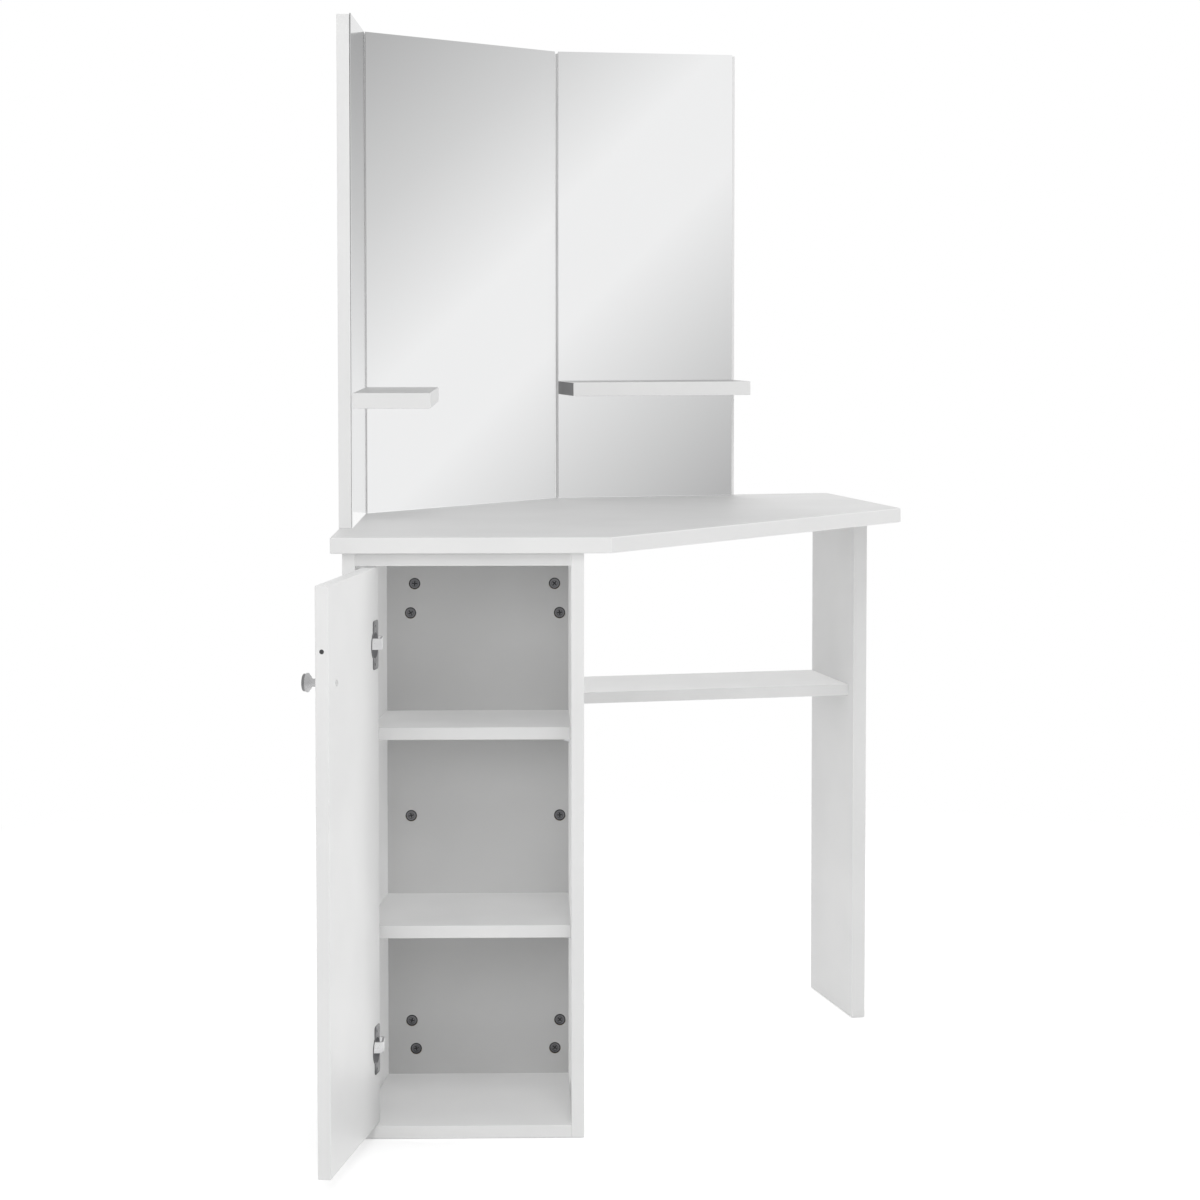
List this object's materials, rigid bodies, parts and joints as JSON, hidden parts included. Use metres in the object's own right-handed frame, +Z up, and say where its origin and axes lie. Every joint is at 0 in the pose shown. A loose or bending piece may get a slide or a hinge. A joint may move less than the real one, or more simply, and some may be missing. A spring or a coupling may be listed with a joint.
{
  "type": "corner dressing table",
  "caption": "White corner dressing table: angular top on a cabinet with an open hinged door and a leg panel, with an angled knee shelf, standing mirror panels and small ledges.",
  "frame": {"origin": "on the floor, under the centre of the outer box with the door open as drawn", "axes": "+X to the right of someone facing the front, +Y from the front edge to the back, +Z up"},
  "size_m": [1.2888, 0.54, 1.415],
  "materials": {
    "white_board": "white melamine-faced board with matching edge band, satin",
    "mirror_glass": "silvered flat glass with cut edges",
    "zinc_steel": "zinc-plated steel",
    "cast_cam": "grey die-cast zinc",
    "satin_knob": "satin nickel-plated metal",
    "beech": "bare fluted beech",
    "dark_catch": "dark moulded plastic"
  },
  "bodies": {
    "carcass": {"tabletop": "white_board", "leg_panel": "white_board", "knee_shelf": "white_board", "cabinet_left_side": "white_board", "cabinet_right_side": "white_board", "cabinet_top_board": "white_board", "cabinet_bottom_board": "white_board", "cabinet_back_panel": "white_board", "lower_shelf": "white_board", "upper_shelf": "white_board", "shelf_pins": "zinc_steel", "left_mirror_board": "white_board", "centre_mirror_board": "white_board", "right_mirror_board": "white_board", "left_mirror_glass": "mirror_glass", "centre_mirror_glass": "mirror_glass", "right_mirror_glass": "mirror_glass", "left_ledge": "white_board", "right_ledge": "white_board", "back_cam_locks": "cast_cam", "board_cam_locks": "cast_cam", "cam_bolts": "zinc_steel", "dowels": "beech", "mirror_screws": "zinc_steel", "ledge_screws": "zinc_steel", "table_screws": "zinc_steel", "hinge_plates": "zinc_steel", "hinge_plate_screws": "zinc_steel", "hinge_arms": "zinc_steel", "hinge_arm_screws": "zinc_steel"},
    "door": {"door_panel": "white_board", "hinge_cups": "zinc_steel", "hinge_pins": "zinc_steel", "hinge_cup_screws": "zinc_steel", "knob": "satin_knob", "knob_screw": "zinc_steel", "door_catch": "dark_catch"}
  },
  "joints": [
    {"name": "door_hinge", "type": "hinge", "parent": "carcass", "child": "door", "pos_m": [-0.42339, -0.02646, 0.366], "axis": [0, 0, 1], "range_deg": [-5, 100]}
  ]
}
